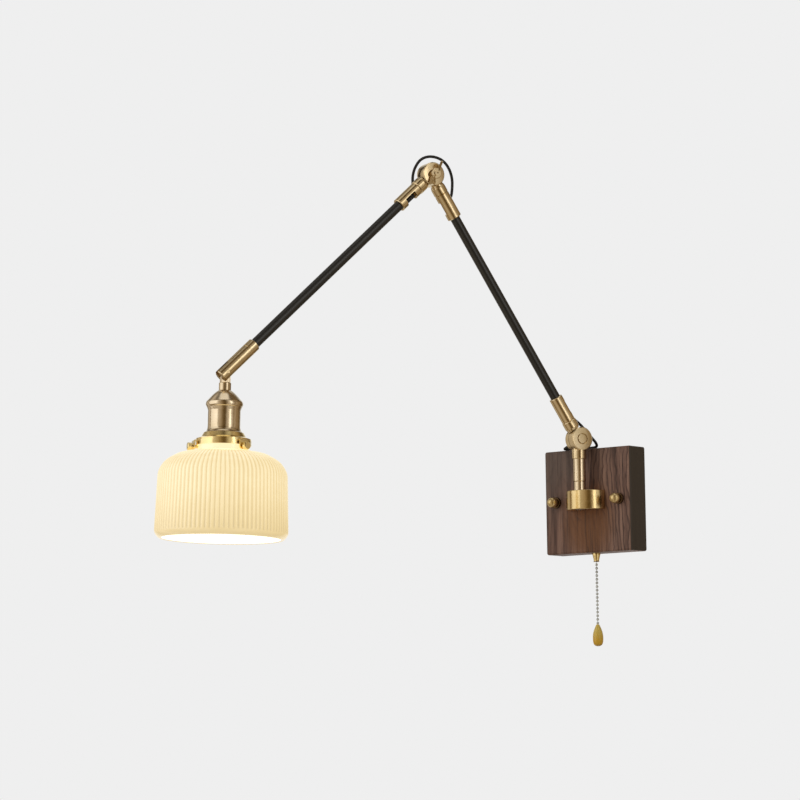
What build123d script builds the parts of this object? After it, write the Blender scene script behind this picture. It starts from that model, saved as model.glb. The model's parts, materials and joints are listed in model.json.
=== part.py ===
from build123d import *
import os
from math import cos, pi, radians, sin, tan

# Swing arm wall lamp, in millimetres.
# The origin lies on the wall, behind the middle of the wooden block.
# The room is towards -Y, +Z is up and +X is to the right of someone who faces the wall.

# Clearances
FIT = 0.05                  # radial clearance of parts that are screwed or glued together
RUN = 0.06                  # radial clearance of parts that turn on a shaft
SEAT = 0.2                  # gap at a seam between parts that turn against each other

# Wooden wall block
BLOCK_SIDE = 120.0
BLOCK_DEPTH = 30.0
BLOCK_EDGE = 2.5
BLOCK_WALL = 8.0            # round the pocket
POCKET_SIDE = BLOCK_SIDE - 2 * BLOCK_WALL
POCKET_DEPTH = 20.0

# Strap on the wall, its studs and the domed nuts
STRAP_CLEAR = 2.0           # between the strap's ends and the pocket
STRAP_LENGTH = POCKET_SIDE - 2 * STRAP_CLEAR
STRAP_HEIGHT = 22.0
STRAP_THICK = 2.0
WALL_SLOT_INSET = 20.0      # slot's middle, from the strap's end
WALL_SLOT_SPACING = STRAP_LENGTH - 2 * WALL_SLOT_INSET
WALL_SLOT_LENGTH = 12.0
WALL_SLOT_WIDTH = 4.5
STUD_INSET = 6.0            # from the strap's end
STUD_SPACING = STRAP_LENGTH - 2 * STUD_INSET
STUD_RADIUS = 2.0
CAP_NUT_FLANGE_RADIUS = 6.5
CAP_NUT_FLANGE_THICK = 3.2
CAP_NUT_FLANGE_EDGE = 0.9
CAP_NUT_NECK_RADIUS = 4.6
CAP_NUT_BALL_RADIUS = 6.0
CAP_NUT_BALL_OUT = 8.6      # middle of the ball, from the wood
CAP_NUT_THREAD = 9.0        # depth of the stud in the nut

# Half-round bracket and its hollow fixing
BRACKET_RADIUS = 24.5
BRACKET_HEIGHT = 22.0
BRACKET_EDGE = 0.8
NIPPLE_RADIUS = 5.0
NIPPLE_WALL = 1.6
NIPPLE_DEPTH = 8.0          # how far the nipple goes into the bracket
NUT_ACROSS = 15.0
NUT_THICK = 5.0

# Swivel and post
POST_OUT = 15.0             # from the wood's face to the post's axis
WIRE_BORE = 2.2             # radius of the cable's way through the brass
SPINDLE_RADIUS = 4.0
SPINDLE_HEAD_RADIUS = 6.0
SPINDLE_HEAD_THICK = 4.6
SPINDLE_NUT_RADIUS = 5.2
SPINDLE_NUT_THICK = 4.0
COLLAR_RING_RADIUS = 6.8    # fixed collar on the bracket
COLLAR_RING_HEIGHT = 10.0
POST_RADIUS = 7.2
POST_LENGTH = 26.0
POST_STEP = 16.0            # length of the post's close bore
POST_CUP_RADIUS = 5.6       # wider bore above it

# Arms: pivot to pivot
ARM_LENGTH = 350.0
SHOULDER_HEIGHT = 70.0
SWING = 24.0                # degrees, the arms' plane left of straight out
LOWER_RISE = 57.5           # degrees above level
UPPER_RISE = -42.35
HEAD_LEAN = 2.2             # degrees, the lamp's axis off plumb

# Half-lap knuckles
DISC_RADIUS = 13.7
SCOOP_GAP = 0.8             # between a disc and the hollow that it turns in
KNUCKLE_RADIUS = 8.35       # of the collar, and the thickness of each lap
KNUCKLE_TIP_RADIUS = 6.2    # narrow end of the collar's taper
KNUCKLE_TIP = 9.5           # narrow end, from the pivot
KNUCKLE_FULL = 16.5         # wide end of the taper
KNUCKLE_END = 25.0
KNUCKLE_EDGE = 0.7
DISC_EDGE = 1.1             # bevel round a disc's outer face
SPIGOT_RADIUS = 5.6
SPIGOT_LENGTH = 5.0
LAP_GAP = 0.6
WASHER_THICK = 0.5
WASHER_RADIUS = 11.0
PIVOT_RADIUS = 3.0

# Sleeves and tubes
SLEEVE_RADIUS = 7.8
TOP_SLEEVE_RADIUS = 8.2     # of the lower arm's sleeve at the elbow
SLEEVE_LENGTH = 31.0
SLEEVE_EDGE = 0.6
WINDOW_INSET = 8.0          # milled window, from the sleeve's ends
WINDOW_FLOOR = -1.3         # of the window, from the sleeve's axis towards the window
TUBE_RADIUS = 5.6
TUBE_WALL = 1.0
TUBE_GRIP = 7.0             # tube inside a sleeve with a window

# Fork at the lamp
FORK_RADIUS = 7.5
FORK_LENGTH = 55.7
FORK_NOSE = 8.0             # past the pivot
FORK_TUBE_GRIP = 26.0
FORK_GROOVE_INSET = 10.0    # turned groove, from the tube's end
FORK_GROOVE_DEPTH = 0.4
FORK_GROOVE_WIDTH = 0.9
TILT_PIN_RADIUS = 2.0
TONGUE_THICK = 5.0
TONGUE_RADIUS = 5.3
TONGUE_GAP = 0.1            # on each face of the tongue
TONGUE_END_GAP = 4.0        # between the tongue's end and the slot's

# Shoulder screw and elbow wing screw
SCREW_HEAD_RADIUS = 5.8
SCREW_HEAD_THICK = 2.8
SCREW_HEAD_EDGE = 0.9
SCREW_POCKET_DEPTH = 2.0
SCREW_POCKET_CLEAR = 0.8
PIVOT_NUT_RADIUS = 5.0
PIVOT_NUT_THICK = 3.2
NUT_POCKET_CLEAR = 1.2
WING_HUB_RADIUS = 6.2
WING_HUB_LENGTH = 6.5
WING_HUB_EDGE = 1.0
WING_BOSS_RADIUS = 3.0
WING_BOSS_LENGTH = 1.2
WING_DIMPLE_RADIUS = 1.4
WING_REACH = 15.5
WING_THICK = 2.8
WING_ROOT = (1.2, 6.5)      # wing beside the hub, from the knuckle's face
WING_TIP = (3.4, 11.2)      # wing at its outer end
WING_TIP_EDGE = 2.5
WING_TWIST = 23.0           # degrees that each wing is turned on its own length
WING_TURN = 25.0            # degrees from upright
WING_HOLE_RADIUS = 1.3
WING_HOLE_INSET = 3.8

# Cables
CABLE_RADIUS = 1.6
CABLE_BEND = 0.45           # share of the shorter run that a bend takes up
BUSH_RADIUS = 2.85
BUSH_OFFSET = 2.85          # bush axis, off the sleeve's axis
BUSH_EDGE = 0.5

# Slack cable at the shoulder: out of the back of the post's collar, over the top of the block in a
# flat loop, up behind the knuckle and into the window of the lower arm's sleeve
SHOULDER_ROUTE = [
    Vector(0.0, -45.0, 51.0),
    Vector(-8.2, -41.3, 53.0),
    Vector(-11.9, -39.7, 56.8),
    Vector(-13.1, -38.3, 62.6),
    Vector(-18.0, -35.1, 65.1),
    Vector(-25.0, -31.2, 64.4),
    Vector(-31.4, -28.4, 62.7),
    Vector(-34.8, -24.8, 62.3),
    Vector(-34.4, -19.6, 62.3),
    Vector(-30.0, -15.6, 62.3),
    Vector(-23.0, -13.8, 62.3),
    Vector(-14.5, -13.6, 62.3),
    Vector(-4.5, -14.6, 62.3),
    Vector(1.5, -15.8, 62.3),
    Vector(6.2, -17.6, 63.2),
    Vector(7.6, -21.2, 66.6),
    Vector(5.8, -25.2, 71.2),
    Vector(3.2, -29.2, 76.2),
    Vector(0.6, -32.8, 81.2),
    Vector(-1.8, -36.4, 86.2),
    Vector(-5.2, -40.6, 91.2),
    Vector(-10.3, -45.5, 96.7),
    Vector(-13.6, -51.0, 101.4),
    Vector(-13.2, -55.3, 105.2),
    Vector(-12.1, -59.4, 106.2),
]

# Cable arch over the elbow, from the back of the lower sleeve to the window of the upper one
ELBOW_ROUTE = [
    Vector(-73.1, -194.5, 331.0),
    Vector(-77.3, -191.7, 331.3),
    Vector(-77.8, -188.2, 335.4),
    Vector(-73.7, -183.0, 342.6),
    Vector(-72.3, -182.3, 354.2),
    Vector(-71.3, -183.5, 365.9),
    Vector(-72.1, -189.2, 377.7),
    Vector(-74.7, -198.6, 385.7),
    Vector(-80.0, -211.9, 388.3),
    Vector(-85.7, -222.7, 384.4),
    Vector(-90.0, -228.5, 374.2),
    Vector(-92.8, -229.7, 363.8),
    Vector(-94.0, -227.5, 353.2),
    Vector(-97.7, -233.9, 343.7),
    Vector(-96.7, -236.6, 337.3),
    Vector(-91.5, -240.7, 335.9),
]

# Lamp head, downwards from the tilt pivot
STEM_TOP = 11.6
STEM_RADIUS = 6.7
CAP_TOP = 20.1
STEM_THREAD_RADIUS = 4.8
STEM_THREAD_LENGTH = 10.0
CAP_SHOULDER = 31.9         # foot of the cap's dome
CAP_SHOULDER_RADIUS = 19.0
CAP_RIM_RADIUS = 20.4       # middle of the rounded rim
CAP_RIM_BOTTOM = 38.8
CAP_WALL = 1.2
SHELL_TOP = 35.4
SHELL_RADIUS = 17.8
SHELL_WALL = 1.0
SHELL_BEAD_RADIUS = 19.1    # bead below the cap's rim
SHELL_BEAD_BOTTOM = 42.4
SHELL_FLARE_START = 59.5
SHELL_FLARE_RADIUS = 21.2
SHELL_BOTTOM = 67.1
CORE_TOP = 37.0
CORE_ROOF = 7.0
CORE_SKIRT_BOTTOM = 73.0
SCREW_SHELL_RADIUS = 13.7
SCREW_SHELL_WALL = 0.4
SCREW_SHELL_LENGTH = 24.0
CONTACT_RADIUS = 3.5
CONTACT_THICK = 1.2
RING_OUTER = 20.4
RING_THICK = 4.0

# Shade holder and its thumbscrews
GALLERY_WALL = 1.2
GALLERY_CONE_START = 22.0
GALLERY_CONE_END = (24.6, 71.9)
GALLERY_SHOULDER = (30.0, 74.0)
GALLERY_RADIUS = 30.4
GALLERY_GROOVE_DEPTH = 0.6  # line turned above the band
GALLERY_GROOVE_TOP = 75.0
GALLERY_BAND_TOP = 75.8
GALLERY_BAND_BOTTOM = 81.2
LUG_COUNT = 3
LUG_FIRST = 16.7            # degrees round the head
LUG_WIDTH = 12.0
LUG_REACH = 34.0
LUG_THICK = 1.6
LUG_DROP = 0.4              # strap's top, below the band's
LUG_BEND = 1.5
LUG_END = 3.4               # below the screw's axis
LUG_CORNER = 3.0
THUMB_DROP = 83.4
THUMB_RADIUS = 2.0
THUMB_NECK_RADIUS = 2.9
THUMB_NECK_LENGTH = 1.0
THUMB_HEAD_RADIUS = 4.3
THUMB_HEAD_LENGTH = 5.0
THUMB_EDGE = 0.6

# Porcelain shade
SHADE_WALL = 3.2
SHADE_TURN_INSET = (0.8, 0.6)       # inner face at the turn, in walls inwards and down
SHADE_SHOULDER_INSET = (0.35, 0.95)  # inner face at the shoulder
SHADE_NECK_RADIUS = 28.2
SHADE_NECK_TOP = 77.0
SHADE_NECK_BOTTOM = 87.2
SHADE_SHOULDER = (51.8, 92.2)
SHADE_TURN = (64.6, 101.2)
SHADE_SIDE_TOP = (70.6, 115.0)
SHADE_BELLY = (72.6, 171.6)
SHADE_RIM_RADIUS = 67.6
SHADE_RIM_BOTTOM = 183.4

# Bulb
BULB_BASE_RADIUS = 13.1
BULB_BASE_LENGTH = 28.0
BULB_BASE_EDGE = 6.0
BULB_NECK_RADIUS = 13.0
BULB_RADIUS = 30.0
BULB_LENGTH = 108.0
BULB_WALL = 0.8

# Pull switch
SWITCH_WIDTH = 20.0
SWITCH_DEPTH = 10.0
SWITCH_HEIGHT = 24.0
SWITCH_EDGE = 1.0
SWITCH_OUT = 14.8           # from the wall to the chain
NOZZLE_SHANK_RADIUS = 3.9
NOZZLE_SHANK_TOP = 15.0     # above the block's underside
NOZZLE_DROP = 10.0
NOZZLE_FLANGE_RADIUS = 4.9  # against the block's underside
NOZZLE_FLANGE_THICK = 1.6
NOZZLE_TOP_RADIUS = 4.5
NOZZLE_WAIST_RADIUS = 3.1
NOZZLE_WAIST = 8.4          # below the block
NOZZLE_MOUTH_RADIUS = 3.7
NOZZLE_BORE = 2.1
NOZZLE_NUT_RADIUS = 5.1
NOZZLE_NUT_THICK = 3.0
BEAD_RADIUS = 1.6
BEAD_PITCH = 4.2
CHAIN_SHOWN = 74.6          # below the nozzle
CHAIN_HIDDEN = 26.2         # above the nozzle's mouth
LINK_RADIUS = 0.45
DROP_RADIUS = 6.0
DROP_LENGTH = 25.0
DROP_BELLY = 17.0
DROP_NECK_RADIUS = 1.7
DROP_SLOPE = 0.5            # sideways for each unit down, below the neck
DROP_HOLE_DEPTH = 4.0

# Terminal block
TERMINAL_SIZE = (24.0, 10.0, 12.0)
TERMINAL_PLACE = (28.0, -28.0)

# Directions and pivots
OUT = Vector(-sin(radians(SWING)), -cos(radians(SWING)), 0)
PIVOT_AXIS = Vector(cos(radians(SWING)), -sin(radians(SWING)), 0)
UP = Vector(0, 0, 1)
LOWER_DIR = OUT * cos(radians(LOWER_RISE)) + UP * sin(radians(LOWER_RISE))
UPPER_DIR = OUT * cos(radians(UPPER_RISE)) + UP * sin(radians(UPPER_RISE))
HEAD_UP = UP * cos(radians(HEAD_LEAN)) - OUT * sin(radians(HEAD_LEAN))
FACE_Y = -BLOCK_DEPTH
POST_Y = FACE_Y - POST_OUT
PANEL_Y = -POCKET_DEPTH
SHOULDER = Vector(0, POST_Y, SHOULDER_HEIGHT)
ELBOW = SHOULDER + LOWER_DIR * ARM_LENGTH
LAMP_PIVOT = ELBOW + UPPER_DIR * ARM_LENGTH

# Frames: X along the pivot axis, Z away from the pivot along the piece
POST_TOP_FRAME = Plane(SHOULDER, x_dir=PIVOT_AXIS, z_dir=-UP)
LOWER_FOOT_FRAME = Plane(SHOULDER, x_dir=PIVOT_AXIS, z_dir=LOWER_DIR)
LOWER_HEAD_FRAME = Plane(ELBOW, x_dir=PIVOT_AXIS, z_dir=-LOWER_DIR)
UPPER_FOOT_FRAME = Plane(ELBOW, x_dir=PIVOT_AXIS, z_dir=UPPER_DIR)
UPPER_HEAD_FRAME = Plane(LAMP_PIVOT, x_dir=PIVOT_AXIS, z_dir=-UPPER_DIR)
HEAD_FRAME = Plane(LAMP_PIVOT, x_dir=PIVOT_AXIS, z_dir=HEAD_UP)

# Heights on the post's axis
BRACKET_TOP = BRACKET_HEIGHT / 2
COLLAR_TOP = BRACKET_TOP + COLLAR_RING_HEIGHT - SEAT
POST_FOOT = BRACKET_TOP + COLLAR_RING_HEIGHT
POST_TOP = POST_FOOT + POST_LENGTH
POST_COLLAR_END = SHOULDER_HEIGHT - POST_TOP

# Places along an arm, from its pivot
SLEEVE_END = KNUCKLE_END + SLEEVE_LENGTH
WINDOW_START = KNUCKLE_END + WINDOW_INSET
WINDOW_END = SLEEVE_END - WINDOW_INSET
TUBE_INSET = SLEEVE_END - TUBE_GRIP
FORK_BACK = FORK_LENGTH - FORK_NOSE
LAP_HALF = LAP_GAP / 2
WIRE_OFFSET = TUBE_RADIUS - TUBE_WALL - CABLE_RADIUS - FIT

# Sides that the sleeves' windows are on, in degrees round each sleeve from the pivot axis
BACK = 180.0
BACK_AND_ABOVE = 141.0
BELOW = 270.0

PARTS = {}


def rod(radius, start, end):
    """Cylinder on the Z axis between two heights."""
    return Pos(0, 0, (start + end) / 2) * Cylinder(radius, abs(end - start))


def cross_rod(radius, start, end):
    """Cylinder on the X axis between two places."""
    return Rot(0, 90, 0) * rod(radius, start, end)


def ring(outer, inner, start, end):
    """Tube on the Z axis between two heights."""
    return rod(outer, start, end) - rod(inner, start, end)


def turned(*lines):
    """Solid turned about Z from a closed outline drawn as (radius, height)."""
    edges = [edge for line in lines for edge in line.edges()]
    return revolve(Plane.XZ * make_face(edges), Axis.Z)


def wall_base():
    """Wooden block, wall strap, studs, nuts, bracket and swivel."""
    block = Pos(0, -BLOCK_DEPTH / 2, 0) * Box(BLOCK_SIDE, BLOCK_DEPTH, BLOCK_SIDE)
    block = fillet(block.edges() - block.faces().sort_by(Axis.Y)[-1].edges(), BLOCK_EDGE)
    block -= Pos(0, -POCKET_DEPTH / 2, 0) * Box(POCKET_SIDE, POCKET_DEPTH, POCKET_SIDE)
    through = Rot(90, 0, 0) * rod(NIPPLE_RADIUS + FIT, 0, BLOCK_DEPTH)
    block -= through
    for side in (-1, 1):
        place = Pos(side * STUD_SPACING / 2, 0, 0)
        block -= place * Rot(90, 0, 0) * rod(STUD_RADIUS + FIT, 0, BLOCK_DEPTH)
    floor_hole = rod(NOZZLE_SHANK_RADIUS + FIT, -BLOCK_SIDE / 2, -POCKET_SIDE / 2)
    block -= Pos(0, -SWITCH_OUT, 0) * floor_hole
    PARTS["wall_block"] = block

    strap = Pos(0, -STRAP_THICK / 2, 0) * Box(STRAP_LENGTH, STRAP_THICK, STRAP_HEIGHT)
    studs = []
    nuts = []
    nut = rod(CAP_NUT_FLANGE_RADIUS, 0, CAP_NUT_FLANGE_THICK)
    nut = fillet(nut.edges().group_by(Axis.Z)[-1], CAP_NUT_FLANGE_EDGE)
    nut += rod(CAP_NUT_NECK_RADIUS, 0, CAP_NUT_BALL_OUT)
    nut += Pos(0, 0, CAP_NUT_BALL_OUT) * Sphere(CAP_NUT_BALL_RADIUS)
    nut -= rod(STUD_RADIUS + FIT, 0, CAP_NUT_THREAD + FIT)
    for side in (-1, 1):
        place = Pos(side * STUD_SPACING / 2, 0, 0) * Rot(90, 0, 0)
        strap -= place * rod(STUD_RADIUS + FIT, 0, STRAP_THICK)
        studs.append(place * rod(STUD_RADIUS, 0, BLOCK_DEPTH + CAP_NUT_THREAD))
        nuts.append(place * Pos(0, 0, BLOCK_DEPTH) * nut)
        slot = SlotOverall(WALL_SLOT_LENGTH, WALL_SLOT_WIDTH)
        slot_place = Pos(side * WALL_SLOT_SPACING / 2, 0, 0) * Rot(90, 0, 0)
        strap -= slot_place * extrude(slot, STRAP_THICK)
    PARTS["mounting_strap"] = strap
    PARTS["strap_studs"] = Compound(children=studs)
    PARTS["cap_nuts"] = Compound(children=nuts)

    bracket = Pos(0, FACE_Y, 0) * Cylinder(BRACKET_RADIUS, BRACKET_HEIGHT)
    behind = Pos(0, FACE_Y + BRACKET_RADIUS, 0) * Box(
        4 * BRACKET_RADIUS, 2 * BRACKET_RADIUS, 2 * BRACKET_HEIGHT
    )
    bracket = fillet((bracket - behind).edges(), BRACKET_EDGE)
    bracket -= Pos(0, POST_Y, 0) * rod(SPINDLE_RADIUS + FIT, -BRACKET_TOP, BRACKET_TOP)
    bracket -= Pos(0, POST_Y, 0) * rod(
        SPINDLE_HEAD_RADIUS + FIT, -BRACKET_TOP, SPINDLE_HEAD_THICK - BRACKET_TOP
    )
    bracket -= Pos(0, FACE_Y, 0) * Rot(90, 0, 0) * rod(NIPPLE_RADIUS + FIT, 0, NIPPLE_DEPTH)
    bracket -= Pos(0, FACE_Y, 0) * Rot(90, 0, 0) * rod(WIRE_BORE, 0, POST_OUT)
    PARTS["swivel_bracket"] = bracket

    nipple = ring(
        NIPPLE_RADIUS,
        NIPPLE_RADIUS - NIPPLE_WALL,
        -NUT_THICK - 2 * NIPPLE_WALL,
        BLOCK_DEPTH - POCKET_DEPTH + NIPPLE_DEPTH,
    )
    PARTS["bracket_nipple"] = Pos(0, PANEL_Y, 0) * Rot(90, 0, 0) * nipple
    nut_plate = extrude(RegularPolygon(NUT_ACROSS / 2, 6, major_radius=False), NUT_THICK)
    nut_plate -= rod(NIPPLE_RADIUS + FIT, 0, NUT_THICK)
    PARTS["bracket_nut"] = Pos(0, PANEL_Y, 0) * Rot(-90, 0, 0) * nut_plate

    post_axis = Pos(0, POST_Y, 0)
    collar = ring(COLLAR_RING_RADIUS, SPINDLE_RADIUS + FIT, BRACKET_TOP, COLLAR_TOP)
    PARTS["swivel_collar"] = post_axis * collar
    step = POST_FOOT + POST_STEP
    spindle_top = step + SEAT + SPINDLE_NUT_THICK
    spindle = rod(SPINDLE_RADIUS, -BRACKET_TOP, spindle_top)
    spindle += rod(SPINDLE_HEAD_RADIUS, -BRACKET_TOP, SPINDLE_HEAD_THICK - BRACKET_TOP)
    spindle -= rod(WIRE_BORE, -BRACKET_TOP, spindle_top)
    spindle -= Rot(-90, 0, 0) * rod(WIRE_BORE, 0, SPINDLE_RADIUS)
    PARTS["swivel_spindle"] = post_axis * spindle
    nut = ring(SPINDLE_NUT_RADIUS, SPINDLE_RADIUS + FIT, step + SEAT, spindle_top)
    PARTS["spindle_nut"] = post_axis * nut

    size_x, size_y, size_z = TERMINAL_SIZE
    terminal = Box(size_x, size_y, size_z)
    for side in (-1, 1):
        terminal -= Pos(side * size_x / 4, 0, 0) * rod(size_y / 5, -size_z, size_z)
    x, z = TERMINAL_PLACE
    PARTS["terminal_block"] = Pos(x, PANEL_Y + size_y / 2, z) * terminal


def pull_switch():
    """Switch in the pocket, nozzle under the block, bead chain and wooden drop."""
    axis = Pos(0, -SWITCH_OUT, -BLOCK_SIDE / 2)
    floor = (BLOCK_SIDE - POCKET_SIDE) / 2
    nut_top = floor + NOZZLE_NUT_THICK
    chain_top = CHAIN_HIDDEN - NOZZLE_DROP

    mouth = -NOZZLE_DROP
    nozzle = turned(
        Polyline(
            (NOZZLE_BORE, mouth),
            (NOZZLE_BORE, NOZZLE_SHANK_TOP),
            (NOZZLE_SHANK_RADIUS, NOZZLE_SHANK_TOP),
            (NOZZLE_SHANK_RADIUS, 0),
            (NOZZLE_FLANGE_RADIUS, 0),
            (NOZZLE_FLANGE_RADIUS, -NOZZLE_FLANGE_THICK),
            (NOZZLE_TOP_RADIUS, -NOZZLE_FLANGE_THICK),
            (NOZZLE_WAIST_RADIUS, -NOZZLE_WAIST),
        ),
        Spline(
            (NOZZLE_WAIST_RADIUS, -NOZZLE_WAIST),
            (NOZZLE_MOUTH_RADIUS, mouth),
            tangents=[(0, -1), (1, -1)],
        ),
        Line((NOZZLE_MOUTH_RADIUS, mouth), (NOZZLE_BORE, mouth)),
    )
    PARTS["pull_nozzle"] = axis * nozzle
    nut = ring(NOZZLE_NUT_RADIUS, NOZZLE_SHANK_RADIUS + FIT, floor, nut_top)
    PARTS["nozzle_nut"] = axis * nut

    body = Box(SWITCH_WIDTH, SWITCH_DEPTH, SWITCH_HEIGHT)
    body = fillet(body.edges().filter_by(Axis.Z), SWITCH_EDGE)
    body = Pos(0, 0, nut_top + SWITCH_HEIGHT / 2) * body
    body -= rod(NOZZLE_SHANK_RADIUS + FIT, nut_top, NOZZLE_SHANK_TOP + FIT)
    body -= rod(NOZZLE_BORE, nut_top, chain_top + 2 * BEAD_RADIUS)
    PARTS["pull_switch"] = axis * body

    bead_count = round((CHAIN_SHOWN + CHAIN_HIDDEN) / BEAD_PITCH)
    chain_end = chain_top - (bead_count - 1) * BEAD_PITCH
    drop_top = chain_end - BEAD_RADIUS - 2 * FIT
    chain = rod(LINK_RADIUS, drop_top - DROP_HOLE_DEPTH + FIT, chain_top)
    for bead in range(bead_count):
        chain += Pos(0, 0, chain_top - bead * BEAD_PITCH) * Sphere(BEAD_RADIUS)
    PARTS["pull_chain"] = axis * chain

    belly = drop_top - DROP_BELLY
    foot = drop_top - DROP_LENGTH
    drop = turned(
        Line((0, drop_top), (DROP_NECK_RADIUS, drop_top)),
        Spline(
            (DROP_NECK_RADIUS, drop_top),
            (DROP_RADIUS, belly),
            (0, foot),
            tangents=[(DROP_SLOPE, -1), (-1, 0)],
        ),
        Line((0, foot), (0, drop_top)),
    )
    drop -= rod(LINK_RADIUS + FIT, drop_top - DROP_HOLE_DEPTH, drop_top)
    PARTS["pull_drop"] = axis * drop


def knuckle(side, collar_end, tip_radius, bore_radius):
    """Half-lap knuckle: disc on one side, tapered collar hollowed for the other disc, spigot."""
    inner = side * LAP_HALF
    outer = side * KNUCKLE_RADIUS
    disc = cross_rod(DISC_RADIUS, inner, outer)
    disc = chamfer(disc.edges().group_by(Axis.X)[-1 if side > 0 else 0], DISC_EDGE)
    collar = turned(
        Polyline(
            (0, 0),
            (tip_radius, 0),
            (tip_radius, KNUCKLE_TIP),
            (KNUCKLE_RADIUS, KNUCKLE_FULL),
            (KNUCKLE_RADIUS, collar_end - KNUCKLE_EDGE),
            (KNUCKLE_RADIUS - KNUCKLE_EDGE, collar_end),
            (SPIGOT_RADIUS - FIT, collar_end),
            (SPIGOT_RADIUS - FIT, collar_end + SPIGOT_LENGTH),
            (0, collar_end + SPIGOT_LENGTH),
            close=True,
        )
    )
    scoop = cross_rod(DISC_RADIUS + SCOOP_GAP, inner, -2 * outer)
    body = disc + (collar - scoop)
    return body - cross_rod(bore_radius, -DISC_RADIUS, DISC_RADIUS)


def disc_pocket(side, radius, depth):
    """Round recess in the outer face of a knuckle's disc."""
    return cross_rod(radius, side * (KNUCKLE_RADIUS - depth), side * 2 * KNUCKLE_RADIUS)


def towards(window, distance):
    """Point off a sleeve's axis, towards its window."""
    return Vector(distance * cos(radians(window)), distance * sin(radians(window)), 0)


def sleeve(window, radius):
    """Sleeve between a knuckle and a tube, with a deep window milled on one side."""
    body = chamfer(rod(radius, KNUCKLE_END, SLEEVE_END).edges(), SLEEVE_EDGE)
    body -= rod(TUBE_RADIUS + FIT, KNUCKLE_END, SLEEVE_END)
    length = WINDOW_END - WINDOW_START
    cut = Pos(2 * radius + WINDOW_FLOOR, 0, WINDOW_START + length / 2)
    return body - Rot(0, 0, window) * cut * Box(4 * radius, 4 * radius, length)


def bush(window):
    """Rubber bush that holds the cable in a sleeve's window."""
    body = rod(BUSH_RADIUS, WINDOW_START + SEAT, WINDOW_END - SEAT)
    return Pos(towards(window, BUSH_OFFSET)) * fillet(body.edges(), BUSH_EDGE)


def arm_tube(start, end):
    """Black tube between two sleeves."""
    return ring(TUBE_RADIUS, TUBE_RADIUS - TUBE_WALL, start, end)


def arm_wire(from_window, start, to_window, end):
    """Cable inside an arm's tube, from one side of its wall to another."""
    first = towards(from_window, WIRE_OFFSET) + UP * start
    last = towards(to_window, WIRE_OFFSET) + UP * end
    return Plane(first, z_dir=last - first) * rod(CABLE_RADIUS, 0, (last - first).length)


def post():
    """Post that swings on the spindle, with its knuckle and the shoulder's screw."""
    post_axis = Pos(0, POST_Y, 0)
    tube = rod(POST_RADIUS, POST_FOOT, POST_TOP)
    tube -= rod(SPINDLE_RADIUS + RUN, POST_FOOT, POST_TOP)
    tube -= rod(POST_CUP_RADIUS, POST_FOOT + POST_STEP, POST_TOP)
    tube = chamfer(tube.edges().group_by(Axis.Z)[0].sort_by(SortBy.LENGTH)[-1:], KNUCKLE_EDGE)
    PARTS["post_tube"] = post_axis * tube

    top = knuckle(1, POST_COLLAR_END, KNUCKLE_RADIUS, PIVOT_RADIUS + FIT)
    top -= disc_pocket(1, SCREW_HEAD_RADIUS + SCREW_POCKET_CLEAR, SCREW_POCKET_DEPTH)
    exit_run = Plane(SHOULDER_ROUTE[0], z_dir=SHOULDER_ROUTE[1] - SHOULDER_ROUTE[0])
    hole = exit_run * rod(CABLE_RADIUS + SEAT, 0, 2 * POST_RADIUS)
    wire_end = POST_COLLAR_END + SPIGOT_LENGTH
    bore = POST_TOP_FRAME * rod(WIRE_BORE, POST_TOP_FRAME.to_local_coords(SHOULDER_ROUTE[0]).Z, wire_end)
    PARTS["post_knuckle"] = POST_TOP_FRAME * top - hole - bore

    seat = KNUCKLE_RADIUS - SCREW_POCKET_DEPTH
    screw = cross_rod(PIVOT_RADIUS, -KNUCKLE_RADIUS + SEAT, seat + SCREW_HEAD_THICK / 2)
    head = cross_rod(SCREW_HEAD_RADIUS, seat, seat + SCREW_HEAD_THICK)
    head = fillet(head.edges().group_by(Axis.X)[-1], SCREW_HEAD_EDGE)
    PARTS["shoulder_screw"] = LOWER_FOOT_FRAME * (screw + head)
    nut_face = -KNUCKLE_RADIUS + SEAT
    nut = cross_rod(PIVOT_NUT_RADIUS, nut_face, nut_face + PIVOT_NUT_THICK)
    nut -= cross_rod(PIVOT_RADIUS + FIT, -KNUCKLE_RADIUS, 0)
    PARTS["shoulder_nut"] = LOWER_FOOT_FRAME * nut
    PARTS["shoulder_washer"] = LOWER_FOOT_FRAME * lap_washer()


def lap_washer():
    """Thin friction washer between the two laps of a knuckle."""
    half = WASHER_THICK / 2
    return cross_rod(WASHER_RADIUS, -half, half) - cross_rod(PIVOT_RADIUS + RUN, -half, half)


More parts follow.
